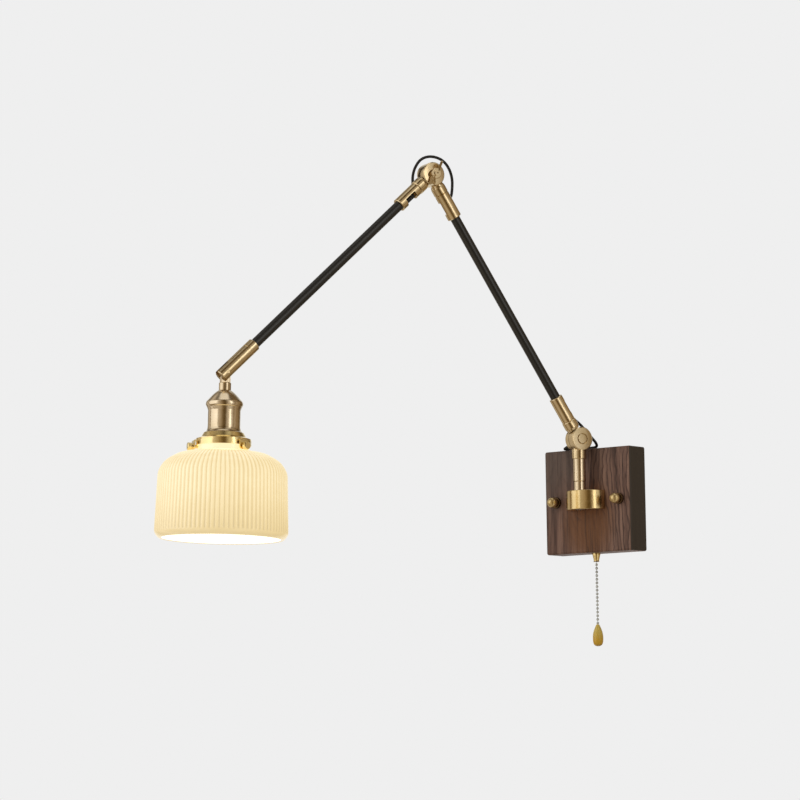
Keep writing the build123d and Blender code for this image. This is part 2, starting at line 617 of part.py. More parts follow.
def lower_arm():
    """Arm from the shoulder to the elbow, with the elbow's washer and wing screw."""
    foot = knuckle(-1, KNUCKLE_END, KNUCKLE_TIP_RADIUS, PIVOT_RADIUS + RUN)
    nut_pocket = PIVOT_NUT_THICK + 2 * SEAT
    foot -= disc_pocket(-1, PIVOT_NUT_RADIUS + NUT_POCKET_CLEAR, nut_pocket)
    PARTS["lower_knuckle"] = LOWER_FOOT_FRAME * foot
    PARTS["lower_sleeve"] = LOWER_FOOT_FRAME * sleeve(BACK_AND_ABOVE, SLEEVE_RADIUS)
    tube = arm_tube(TUBE_INSET, ARM_LENGTH - TUBE_INSET)
    PARTS["lower_tube"] = LOWER_FOOT_FRAME * tube
    PARTS["lower_top_sleeve"] = LOWER_HEAD_FRAME * sleeve(BACK, TOP_SLEEVE_RADIUS)
    head = knuckle(1, KNUCKLE_END, KNUCKLE_TIP_RADIUS, PIVOT_RADIUS + RUN)
    PARTS["lower_top_knuckle"] = LOWER_HEAD_FRAME * head
    bushes = [LOWER_FOOT_FRAME * bush(BACK_AND_ABOVE), LOWER_HEAD_FRAME * bush(BACK)]
    PARTS["lower_bushes"] = Compound(children=bushes)
    wire = arm_wire(BACK_AND_ABOVE, WINDOW_END, BACK, ARM_LENGTH - WINDOW_END)
    PARTS["lower_wire"] = LOWER_FOOT_FRAME * wire
    PARTS["elbow_washer"] = LOWER_HEAD_FRAME * lap_washer()


def wing():
    """Flared plate on one side of the wing screw, in the plane of its axis, with a hole."""
    root_start, root_end = WING_ROOT
    tip_start, tip_end = WING_TIP
    outline = make_face(
        Polyline(
            (root_start, 0),
            (root_start, WING_HUB_RADIUS),
            (tip_start, WING_REACH),
            (tip_end, WING_REACH),
            (root_end, WING_HUB_RADIUS),
            (root_end, 0),
            close=True,
        ).edges()
    )
    outline = fillet(outline.vertices().group_by(Axis.Y)[-1], WING_TIP_EDGE)
    middle = (tip_start + tip_end) / 2
    outline -= Pos(middle, WING_REACH - WING_HOLE_INSET) * Circle(WING_HOLE_RADIUS)
    plate = extrude(Plane.XZ * outline, WING_THICK / 2, both=True)
    return Pos(middle, 0, 0) * Rot(0, 0, -WING_TWIST) * Pos(-middle, 0, 0) * plate


def wing_screw():
    """Clamp screw of the elbow, with two wings and a dimpled boss."""
    hub = cross_rod(WING_HUB_RADIUS, 0, WING_HUB_LENGTH)
    hub = fillet(hub.edges().group_by(Axis.X)[-1], WING_HUB_EDGE)
    boss_end = WING_HUB_LENGTH + WING_BOSS_LENGTH
    wings = wing() + Rot(180, 0, 0) * wing()
    wings -= cross_rod(WING_BOSS_RADIUS, 0, 2 * WING_HUB_LENGTH)
    screw = hub + wings + cross_rod(WING_BOSS_RADIUS, 0, boss_end)
    screw -= cross_rod(WING_DIMPLE_RADIUS, WING_HUB_LENGTH, 2 * WING_HUB_LENGTH)
    face = KNUCKLE_RADIUS + SEAT
    screw += cross_rod(PIVOT_RADIUS, SEAT - KNUCKLE_RADIUS - face, 0)
    turn = Plane(ELBOW, x_dir=PIVOT_AXIS, z_dir=UP)
    PARTS["wing_screw"] = turn * (Pos(face, 0, 0) * Rot(-WING_TURN, 0, 0) * screw)


def upper_arm():
    """Arm from the elbow to the lamp, with the fork that holds the head."""
    foot = knuckle(-1, KNUCKLE_END, KNUCKLE_TIP_RADIUS, PIVOT_RADIUS + RUN)
    PARTS["upper_knuckle"] = UPPER_FOOT_FRAME * foot
    PARTS["upper_sleeve"] = UPPER_FOOT_FRAME * sleeve(BELOW, SLEEVE_RADIUS)
    PARTS["upper_bush"] = UPPER_FOOT_FRAME * bush(BELOW)
    tube_end = ARM_LENGTH - FORK_BACK + FORK_TUBE_GRIP
    PARTS["upper_tube"] = UPPER_FOOT_FRAME * arm_tube(TUBE_INSET, tube_end)
    PARTS["upper_wire"] = UPPER_FOOT_FRAME * arm_wire(BELOW, WINDOW_END, BELOW, tube_end)

    fork = chamfer(rod(FORK_RADIUS, -FORK_NOSE, FORK_BACK).edges(), SLEEVE_EDGE)
    fork -= rod(TUBE_RADIUS + FIT, FORK_BACK - FORK_TUBE_GRIP, FORK_BACK)
    fork -= rod(WIRE_BORE, 0, FORK_BACK)
    groove_end = FORK_BACK - FORK_GROOVE_INSET
    groove_floor = FORK_RADIUS - FORK_GROOVE_DEPTH
    fork -= ring(2 * FORK_RADIUS, groove_floor, groove_end - FORK_GROOVE_WIDTH, groove_end)
    slot_end = TONGUE_RADIUS + TONGUE_END_GAP
    slot_length = FORK_NOSE + slot_end
    slot = Box(TONGUE_THICK + 2 * TONGUE_GAP, 4 * FORK_RADIUS, slot_length)
    fork -= Pos(0, 0, slot_end - slot_length / 2) * slot
    fork -= cross_rod(TILT_PIN_RADIUS + FIT, -2 * FORK_RADIUS, 2 * FORK_RADIUS)
    PARTS["fork_sleeve"] = UPPER_HEAD_FRAME * fork
    pin_half = FORK_RADIUS - SEAT
    PARTS["tilt_pin"] = UPPER_HEAD_FRAME * cross_rod(TILT_PIN_RADIUS, -pin_half, pin_half)


def lampholder():
    """Tongue, cap and shell of the lampholder, with the socket inside."""
    tongue_length = STEM_TOP + KNUCKLE_EDGE
    tongue = Pos(0, 0, -tongue_length / 2) * Box(TONGUE_THICK, 2 * TONGUE_RADIUS, tongue_length)
    tongue += cross_rod(TONGUE_RADIUS, -TONGUE_THICK / 2, TONGUE_THICK / 2)
    stem = chamfer(rod(STEM_RADIUS, -CAP_TOP, -STEM_TOP).edges().group_by(Axis.Z)[-1], KNUCKLE_EDGE)
    thread_end = CAP_TOP + STEM_THREAD_LENGTH
    stem += rod(STEM_THREAD_RADIUS, -thread_end, -CAP_TOP)
    stem -= rod(WIRE_BORE, -thread_end, -STEM_TOP - KNUCKLE_EDGE)
    tongue += stem
    tongue -= cross_rod(TILT_PIN_RADIUS + RUN, -TONGUE_THICK, TONGUE_THICK)
    PARTS["head_tongue"] = HEAD_FRAME * tongue

    rim_inner = SHELL_RADIUS + FIT
    rim_middle = (CAP_SHOULDER + CAP_RIM_BOTTOM) / 2
    hole = STEM_THREAD_RADIUS + FIT
    cap = turned(
        Line((hole, -CAP_TOP), (STEM_RADIUS, -CAP_TOP)),
        Spline(
            (STEM_RADIUS, -CAP_TOP),
            (CAP_SHOULDER_RADIUS, -CAP_SHOULDER),
            tangents=[(0.8, -0.5), (0.65, -0.75)],
        ),
        ThreePointArc(
            (CAP_SHOULDER_RADIUS, -CAP_SHOULDER),
            (CAP_RIM_RADIUS, -rim_middle),
            (SHELL_BEAD_RADIUS, -CAP_RIM_BOTTOM),
        ),
        Polyline(
            (SHELL_BEAD_RADIUS, -CAP_RIM_BOTTOM),
            (rim_inner, -CAP_RIM_BOTTOM),
            (rim_inner, -rim_middle),
        ),
        Spline(
            (rim_inner, -rim_middle),
            (hole, -CAP_TOP - CAP_WALL),
            tangents=[(-0.5, 1), (-0.8, 0.5)],
        ),
        Line((hole, -CAP_TOP - CAP_WALL), (hole, -CAP_TOP)),
    )
    PARTS["holder_cap"] = HEAD_FRAME * cap

    inner = SHELL_RADIUS - SHELL_WALL
    inner_flare = SHELL_FLARE_RADIUS - SHELL_WALL
    bead_top = CAP_RIM_BOTTOM + FIT
    shell = turned(
        Polyline(
            (inner, -SHELL_TOP),
            (SHELL_RADIUS, -SHELL_TOP),
            (SHELL_RADIUS, -bead_top),
            (SHELL_BEAD_RADIUS, -bead_top),
            (SHELL_RADIUS, -SHELL_BEAD_BOTTOM),
            (SHELL_RADIUS, -SHELL_FLARE_START),
        ),
        Spline(
            (SHELL_RADIUS, -SHELL_FLARE_START),
            (SHELL_FLARE_RADIUS, -SHELL_BOTTOM),
            tangents=[(0, -1), (0.8, -0.6)],
        ),
        Line((SHELL_FLARE_RADIUS, -SHELL_BOTTOM), (inner_flare, -SHELL_BOTTOM)),
        Spline(
            (inner_flare, -SHELL_BOTTOM),
            (inner, -SHELL_FLARE_START),
            tangents=[(-0.8, 0.6), (0, 1)],
        ),
        Line((inner, -SHELL_FLARE_START), (inner, -SHELL_TOP)),
    )
    PARTS["holder_shell"] = HEAD_FRAME * shell

    core_radius = inner - 2 * FIT
    roof = CORE_TOP + CORE_ROOF
    core = rod(core_radius, -CORE_SKIRT_BOTTOM, -CORE_TOP)
    core -= rod(SCREW_SHELL_RADIUS + FIT, -CORE_SKIRT_BOTTOM, -roof)
    core -= rod(WIRE_BORE, -roof, -CORE_TOP)
    PARTS["socket_core"] = HEAD_FRAME * core
    shell_top = roof + FIT
    screw_shell = ring(
        SCREW_SHELL_RADIUS,
        SCREW_SHELL_RADIUS - SCREW_SHELL_WALL,
        -shell_top - SCREW_SHELL_LENGTH,
        -shell_top,
    )
    PARTS["screw_shell"] = HEAD_FRAME * screw_shell
    contact = rod(CONTACT_RADIUS, -shell_top - CONTACT_THICK, -shell_top)
    PARTS["centre_contact"] = HEAD_FRAME * contact
    gallery_foot = SHELL_BOTTOM + FIT + GALLERY_WALL
    clamp = ring(RING_OUTER, core_radius + FIT, -gallery_foot - RING_THICK, -gallery_foot - FIT)
    PARTS["socket_ring"] = HEAD_FRAME * clamp


def lug():
    """Strap that reaches out from the shade holder and turns down round its screw."""
    start = GALLERY_RADIUS - GALLERY_WALL / 2
    top = -GALLERY_BAND_TOP - LUG_DROP
    outline = make_face(
        Polyline(
            (start, top),
            (LUG_REACH, top),
            (LUG_REACH, -THUMB_DROP - LUG_END),
            (LUG_REACH - LUG_THICK, -THUMB_DROP - LUG_END),
            (LUG_REACH - LUG_THICK, top - LUG_THICK),
            (start, top - LUG_THICK),
            close=True,
        ).edges()
    )
    outline = fillet(outline.vertices().group_by(Axis.Y)[-1].sort_by(Axis.X)[-1], LUG_BEND)
    body = extrude(Plane.XZ * outline, LUG_WIDTH / 2, both=True)
    body = fillet(body.edges().filter_by(Axis.X).group_by(Axis.Z)[0], LUG_CORNER)
    hole = cross_rod(THUMB_RADIUS + FIT, LUG_REACH - 2 * LUG_THICK, LUG_REACH + LUG_THICK)
    return body - Pos(0, 0, -THUMB_DROP) * hole


def thumbscrew():
    """Screw with a plain neck and a round head, pointing at the shade's neck."""
    neck_end = LUG_REACH + FIT + THUMB_NECK_LENGTH
    head_end = neck_end + THUMB_HEAD_LENGTH
    head = cross_rod(THUMB_HEAD_RADIUS, neck_end, head_end)
    head = chamfer(head.edges(), THUMB_EDGE)
    body = head + cross_rod(THUMB_NECK_RADIUS, LUG_REACH + FIT, neck_end + THUMB_EDGE)
    body += cross_rod(THUMB_RADIUS, SHADE_NECK_RADIUS + FIT, neck_end)
    return Pos(0, 0, -THUMB_DROP) * body


def shade_and_bulb():
    """Shade holder with lugs and screws, porcelain shade, and the bulb."""
    core_radius = SHELL_RADIUS - SHELL_WALL - 2 * FIT
    plate_top = SHELL_BOTTOM + FIT
    wall = GALLERY_WALL
    band_inner = GALLERY_RADIUS - wall
    cone_r, cone_z = GALLERY_CONE_END
    shoulder_r, shoulder_z = GALLERY_SHOULDER
    hole = core_radius + FIT
    gallery = turned(
        Polyline(
            (hole, -plate_top),
            (GALLERY_CONE_START, -plate_top),
            (cone_r, -cone_z),
            (shoulder_r, -shoulder_z),
            (shoulder_r, -GALLERY_GROOVE_TOP),
            (shoulder_r - GALLERY_GROOVE_DEPTH, -GALLERY_GROOVE_TOP),
            (shoulder_r - GALLERY_GROOVE_DEPTH, -GALLERY_BAND_TOP),
            (GALLERY_RADIUS, -GALLERY_BAND_TOP),
            (GALLERY_RADIUS, -GALLERY_BAND_BOTTOM),
            (band_inner, -GALLERY_BAND_BOTTOM),
            (band_inner, -GALLERY_BAND_TOP),
            (cone_r - wall / 2, -cone_z - wall),
            (GALLERY_CONE_START - wall, -plate_top - wall),
            (hole, -plate_top - wall),
            close=True,
        )
    )
    screws = []
    for index in range(LUG_COUNT):
        turn = Rot(0, 0, LUG_FIRST + index * 360 / LUG_COUNT)
        gallery += turn * lug()
        screws.append(HEAD_FRAME * (turn * thumbscrew()))
    PARTS["shade_gallery"] = HEAD_FRAME * gallery
    PARTS["gallery_screws"] = Compound(children=screws)

    shoulder_r, shoulder_z = SHADE_SHOULDER
    turn_r, turn_z = SHADE_TURN
    side_r, side_z = SHADE_SIDE_TOP
    belly_r, belly_z = SHADE_BELLY
    wall = SHADE_WALL
    neck_inner = SHADE_NECK_RADIUS - wall
    rim_inner = SHADE_RIM_RADIUS - wall
    rim_inner_z = SHADE_RIM_BOTTOM - wall / 3
    turn_in, turn_down = (share * wall for share in SHADE_TURN_INSET)
    shoulder_in, shoulder_down = (share * wall for share in SHADE_SHOULDER_INSET)
    shade = turned(
        Polyline(
            (neck_inner, -SHADE_NECK_TOP),
            (SHADE_NECK_RADIUS, -SHADE_NECK_TOP),
            (SHADE_NECK_RADIUS, -SHADE_NECK_BOTTOM),
        ),
        Spline(
            (SHADE_NECK_RADIUS, -SHADE_NECK_BOTTOM),
            (shoulder_r, -shoulder_z),
            (turn_r, -turn_z),
            (side_r, -side_z),
            tangents=[(1, -0.15), (0.03, -1)],
        ),
        Line((side_r, -side_z), (belly_r, -belly_z)),
        Spline(
            (belly_r, -belly_z),
            (SHADE_RIM_RADIUS, -SHADE_RIM_BOTTOM),
            tangents=[(0.03, -1), (-0.7, -0.7)],
        ),
        Line((SHADE_RIM_RADIUS, -SHADE_RIM_BOTTOM), (rim_inner, -rim_inner_z)),
        Spline(
            (rim_inner, -rim_inner_z),
            (belly_r - wall, -belly_z),
            tangents=[(0.7, 0.7), (-0.03, 1)],
        ),
        Line((belly_r - wall, -belly_z), (side_r - wall, -side_z)),
        Spline(
            (side_r - wall, -side_z),
            (turn_r - turn_in, -turn_z - turn_down),
            (shoulder_r - shoulder_in, -shoulder_z - shoulder_down),
            (neck_inner, -SHADE_NECK_BOTTOM - wall),
            tangents=[(-0.03, 1), (-1, 0.15)],
        ),
        Line((neck_inner, -SHADE_NECK_BOTTOM - wall), (neck_inner, -SHADE_NECK_TOP)),
    )
    PARTS["shade"] = HEAD_FRAME * shade

    base_top = CORE_TOP + CORE_ROOF + CONTACT_THICK + 2 * FIT
    base_end = base_top + BULB_BASE_LENGTH
    base = rod(BULB_BASE_RADIUS, -base_end, -base_top)
    base = chamfer(base.edges().group_by(Axis.Z)[-1], BULB_BASE_EDGE)
    base -= rod(BULB_BASE_RADIUS - BULB_WALL, -base_end, -base_top - BULB_BASE_EDGE)
    PARTS["bulb_base"] = HEAD_FRAME * base
    tip = base_top + BULB_LENGTH
    belly = tip - BULB_RADIUS
    neck_inner = BULB_NECK_RADIUS - BULB_WALL
    belly_inner = BULB_RADIUS - BULB_WALL
    glass = turned(
        Line((neck_inner, -base_end), (BULB_NECK_RADIUS, -base_end)),
        Spline(
            (BULB_NECK_RADIUS, -base_end),
            (BULB_RADIUS, -belly),
            tangents=[(0.25, -1), (0, -1)],
        ),
        RadiusArc((BULB_RADIUS, -belly), (0, -tip), BULB_RADIUS),
        Line((0, -tip), (0, -tip + BULB_WALL)),
        RadiusArc((0, -tip + BULB_WALL), (belly_inner, -belly), -belly_inner),
        Spline(
            (belly_inner, -belly),
            (neck_inner, -base_end),
            tangents=[(0, 1), (-0.25, 1)],
        ),
    )
    PARTS["bulb_glass"] = HEAD_FRAME * glass


def cable(points, name):
    """Round cable along straight runs joined by arcs as large as the runs allow."""
    runs = [points[i + 1] - points[i] for i in range(len(points) - 1)]
    radii = []
    for before, after in zip(runs, runs[1:]):
        turn = radians(before.get_angle(after))
        radii.append(CABLE_BEND * min(before.length, after.length) / tan(turn / 2))
    path = FilletPolyline(*points, radius=radii)
    section = Plane(points[0], z_dir=runs[0]) * Circle(CABLE_RADIUS)
    body = sweep(section, path)
    expected = path.length * pi * CABLE_RADIUS**2
    rounded = ", ".join(f"{radius:.1f}" for radius in radii)
    print(f"{name}: length {path.length:.1f}, volume {body.volume:.1f} of {expected:.1f}, radii {rounded}")
    PARTS[name] = body


wall_base()
pull_switch()
post()
lower_arm()
wing_screw()
upper_arm()
lampholder()
shade_and_bulb()
cable(SHOULDER_ROUTE, "shoulder_cable")
cable(ELBOW_ROUTE, "elbow_cable")
os.makedirs("parts", exist_ok=True)
for node, shape in PARTS.items():
    export_step(shape, f"parts/{node}.step")
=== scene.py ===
import json
from math import cos, radians, sin

import bpy
import numpy as np
from mathutils import Matrix, Vector


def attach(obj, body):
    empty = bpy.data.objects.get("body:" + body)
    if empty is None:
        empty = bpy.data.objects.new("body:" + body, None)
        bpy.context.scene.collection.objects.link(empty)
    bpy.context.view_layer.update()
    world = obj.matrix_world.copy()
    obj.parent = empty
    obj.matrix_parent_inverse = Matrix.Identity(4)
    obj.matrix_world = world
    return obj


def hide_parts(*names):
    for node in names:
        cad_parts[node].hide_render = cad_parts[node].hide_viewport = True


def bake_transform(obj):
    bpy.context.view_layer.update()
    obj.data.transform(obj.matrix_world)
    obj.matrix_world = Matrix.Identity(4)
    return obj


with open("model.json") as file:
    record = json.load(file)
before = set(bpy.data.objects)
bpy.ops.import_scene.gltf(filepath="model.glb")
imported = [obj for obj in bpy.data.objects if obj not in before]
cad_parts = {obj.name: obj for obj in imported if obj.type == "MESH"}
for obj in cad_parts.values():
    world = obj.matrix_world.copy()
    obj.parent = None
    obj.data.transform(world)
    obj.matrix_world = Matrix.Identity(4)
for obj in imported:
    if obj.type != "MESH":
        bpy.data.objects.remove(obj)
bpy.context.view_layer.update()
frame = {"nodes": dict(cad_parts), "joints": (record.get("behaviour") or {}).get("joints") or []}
nodes = frame["nodes"]

# Directions of the lamp, with the room towards -Y and +Z up
SWING = radians(24.0)
LOWER_RISE = radians(57.5)
UPPER_RISE = radians(-42.35)
HEAD_LEAN = radians(2.2)
UP = np.array((0.0, 0.0, 1.0))
TO_WALL = np.array((0.0, 1.0, 0.0))
OUT = np.array((-sin(SWING), -cos(SWING), 0.0))
PIVOT_AXIS = np.array((cos(SWING), -sin(SWING), 0.0))
LOWER_DIR = OUT * cos(LOWER_RISE) + UP * sin(LOWER_RISE)
UPPER_DIR = OUT * cos(UPPER_RISE) + UP * sin(UPPER_RISE)
HEAD_UP = UP * cos(HEAD_LEAN) - OUT * sin(HEAD_LEAN)
PIVOT = {joint["name"]: np.array(joint["pos_m"]) for joint in frame["joints"] if "pos_m" in joint}

# Camera, as the photograph was taken: metres, degrees, and pixels of an 800 pixel frame
CAMERA_TARGET = Vector((-0.1783, -0.150, 0.1216))
CAMERA_DISTANCE = 4.0
CAMERA_AZIMUTH = 38.24
CAMERA_ELEVATION = -6.22
CAMERA_ROLL = -0.85
CAMERA_REACH = 100.0
FOCAL_PIXELS = 3448.0
FRAME_PIXELS = 800.0
SENSOR = 36.0

# Studio: brightness of the backdrop, the floor in metres, and the plain light from all round
BACKDROP = 0.863
FLOOR_HEIGHT = -0.95
FLOOR_EDGE = 6.0
FLOOR_SEEN = 0.59
ROOM_LIGHT = (0.26, 0.262, 0.27)
# What bare metal mirrors all round: degrees from the camera's side, above 0 to its right, and brightness
SURROUNDINGS = [
    (-180, BACKDROP), (-162, 0.80), (-146, 0.12), (-132, 0.62), (-120, 0.62), (-110, 0.20),
    (-103, 0.26), (-40, 0.58), (-24, 0.46), (-10, 0.27), (0, 0.12), (14, 0.12), (25, 0.56),
    (50, 0.72), (61, 0.62), (71, 0.28), (78, 0.32), (84, 0.52), (93, 0.32), (110, 0.30),
    (142, 0.13), (162, 0.80), (180, BACKDROP),
]
# How that changes with height, as the sine of the rise and a factor, and the pale ceiling straight above
OVERHEAD = [(0.0, 1.0), (0.42, 1.0), (0.56, 0.45), (0.70, 1.15), (0.80, 1.0), (0.90, 0.4), (1.0, 0.4)]
CEILING = (0.95, 0.92, 0.86)
CEILING_RISE = (0.925, 0.975)
# Soft boxes: name, azimuth and elevation in degrees, distance and size in metres, watts and tint
SOFTBOXES = [
    ("left_box", -33.0, 12.0, 2.2, (2.4, 2.6), 17.5, (0.95, 0.98, 1.0)),
    ("right_box", 77.0, 10.0, 2.4, (0.5, 2.4), 5.0, (1.0, 0.97, 0.93)),
]

# Slack cable at the shoulder and cable arch over the elbow, metres
CABLE_RADIUS = 0.0016
CABLE_SIDES = 20
CABLE_STEPS = 14            # points of the line for each span of the route
SECTION_CHOICES = 400       # directions tried for the section's zero
SHOULDER_ROUTE = [
    (0.0000, -0.0450, 0.0510), (-0.0082, -0.0413, 0.0530), (-0.0119, -0.0397, 0.0568),
    (-0.0131, -0.0383, 0.0626), (-0.0180, -0.0351, 0.0651), (-0.0250, -0.0312, 0.0644),
    (-0.0314, -0.0284, 0.0627), (-0.0348, -0.0248, 0.0623), (-0.0344, -0.0196, 0.0623),
    (-0.0300, -0.0156, 0.0623), (-0.0230, -0.0138, 0.0623), (-0.0145, -0.0136, 0.0623),
    (-0.0045, -0.0146, 0.0623), (0.0015, -0.0158, 0.0623), (0.0062, -0.0176, 0.0632),
    (0.0076, -0.0212, 0.0666), (0.0058, -0.0252, 0.0712), (0.0032, -0.0292, 0.0762),
    (0.0006, -0.0328, 0.0812), (-0.0018, -0.0364, 0.0862), (-0.0052, -0.0406, 0.0912),
    (-0.0103, -0.0455, 0.0967), (-0.0136, -0.0510, 0.1014), (-0.0132, -0.0553, 0.1052),
    (-0.0121, -0.0594, 0.1062),
]
ELBOW_ROUTE = [
    (-0.0731, -0.1945, 0.3310), (-0.0773, -0.1917, 0.3313), (-0.0778, -0.1882, 0.3354),
    (-0.0737, -0.1830, 0.3426), (-0.0723, -0.1823, 0.3542), (-0.0713, -0.1835, 0.3659),
    (-0.0721, -0.1892, 0.3777), (-0.0747, -0.1986, 0.3857), (-0.0800, -0.2119, 0.3883),
    (-0.0857, -0.2227, 0.3844), (-0.0900, -0.2285, 0.3742), (-0.0928, -0.2297, 0.3638),
    (-0.0940, -0.2275, 0.3532), (-0.0977, -0.2339, 0.3437), (-0.0967, -0.2366, 0.3373),
    (-0.0915, -0.2407, 0.3359),
]

# Brass: worn bright and dull dark tone
BRASS = (0.80, 0.655, 0.430), (0.62, 0.490, 0.285)
PALE_BRASS = (0.82, 0.690, 0.510), (0.64, 0.520, 0.345)
YELLOW_BRASS = (0.80, 0.635, 0.345), (0.62, 0.470, 0.225)
# Brighter, yellower brass: partly a newer brass, and on the gallery partly painted light from the shade's
# glow
BRIGHT_BRASS = (1.0, 0.83, 0.45), (0.92, 0.73, 0.34)
# Painted shade on the cap nuts, darkening the brass behind the ball
STUD_SHADE_SPAN = (-0.0350, -0.0335)   # from the ball of a cap nut to its flange
# Discs of the knuckles, metres, and how strongly their faces are crowned
DISC_RADIUS = 0.0150
DISC_CROWN = 5.0

# Porcelain shade, millimetres from the tilt pivot, and its ribs
RIB_COUNT = 88
RIB_STEPS = 6
RIB_HEIGHT = 0.95
RIB_LEVEL = 0.75            # share of a rib's height below the plain wall
RIB_POWER = 0.8             # below 1 for fuller ribs
RIB_SHADE = 0.28            # how much darker the grooves glow
BULB_DROP = 123.0
BULB_REACH = 70.0           # distance from the bulb at which the wall's glow is full


class Wire:
    """One socket of a shader tree. Sums on wires add Math nodes, and node() adds any other node."""

    def __init__(self, tree, socket):
        self.tree = tree
        self.socket = socket

    def node(self, kind, settings, inputs, output=0):
        """Adds a node of a kind, sets it, fills its sockets with values or wires, and gives one output."""
        made = self.tree.nodes.new(kind)
        for key, value in settings.items():
            if key == "stops":
                ramp = made.color_ramp.elements
                while len(ramp) < len(value):
                    ramp.new(0.5)
                for stop, (place, colour) in zip(ramp, value):
                    stop.position = place
                    stop.color = (*colour, 1.0)
            else:
                setattr(made, key, value)
        for key, value in inputs.items():
            if isinstance(value, Wire):
                self.tree.links.new(value.socket, made.inputs[key])
            else:
                made.inputs[key].default_value = value
        return Wire(self.tree, made.outputs[output])

    def sum(self, operation, first, second):
        """One Math node on two numbers or wires."""
        return self.node("ShaderNodeMath", {"operation": operation}, {0: first, 1: second})

    def __add__(self, other):
        return self.sum("ADD", self, other)

    def __sub__(self, other):
        return self.sum("SUBTRACT", self, other)

    def __rsub__(self, other):
        return self.sum("SUBTRACT", other, self)

    def __mul__(self, other):
        return self.sum("MULTIPLY", self, other)

    def __truediv__(self, other):
        return self.sum("DIVIDE", self, other)

    def __pow__(self, other):
        return self.sum("POWER", self, other)

    __radd__ = __add__
    __rmul__ = __mul__

    def capped(self, most):
        """This, or the most that it may be."""
        return self.sum("MINIMUM", self, most)

    def axis(self, direction):
        """Distance of a place along a direction."""
        values = {0: self, 1: direction}
        return self.node("ShaderNodeVectorMath", {"operation": "DOT_PRODUCT"}, values, "Value")

    def stretched(self, scale):
        """A place or colour with each of its three numbers scaled by its own."""
        return self.node("ShaderNodeVectorMath", {"operation": "MULTIPLY"}, {0: self, 1: scale})

    def noise(self, scale, detail=2.0, rough=0.5):
        """Soft noise between 0 and 1 at a place."""
        values = {"Vector": self, "Scale": scale, "Detail": detail, "Roughness": rough}
        return self.node("ShaderNodeTexNoise", {}, values, "Fac")

    def step(self, low, high):
        """0 below low, 1 above high and a smooth rise between them."""
        values = {"Value": self, "From Min": low, "From Max": high}
        return self.node("ShaderNodeMapRange", {"interpolation_type": "SMOOTHSTEP"}, values)

    def tint(self, first, second):
        """First colour where this is 0, second where it is 1."""
        pair = [shade if isinstance(shade, Wire) else (*shade, 1.0) for shade in (first, second)]
        settings = {"data_type": "RGBA", "clamp_factor": True}
        return self.node("ShaderNodeMix", settings, {0: self, 6: pair[0], 7: pair[1]}, 2)

    def ramp(self, stops):
        """Colour at this place between the stops."""
        return self.node("ShaderNodeValToRGB", {"stops": stops}, {0: self})

    def bump(self, strength, distance):
        """Surface normal raised by this height."""
        values = {"Height": self, "Strength": strength, "Distance": distance}
        return self.node("ShaderNodeBump", {}, values, "Normal")


def finish(name, constants):
    """New material, its place in Object coordinates as a wire, and a function that feeds its shader."""
    material = bpy.data.materials.new(name)
    material.use_nodes = True
    tree = material.node_tree
    shader = tree.nodes["Principled BSDF"]
    for key, value in constants.items():
        shader.inputs[key].default_value = value
    place = Wire(tree, tree.nodes.new("ShaderNodeTexCoord").outputs["Object"])

    def feed(**wires):
        for key, wire in wires.items():
            tree.links.new(wire.socket, shader.inputs[key.replace("_", " ")])

    return material, place, feed


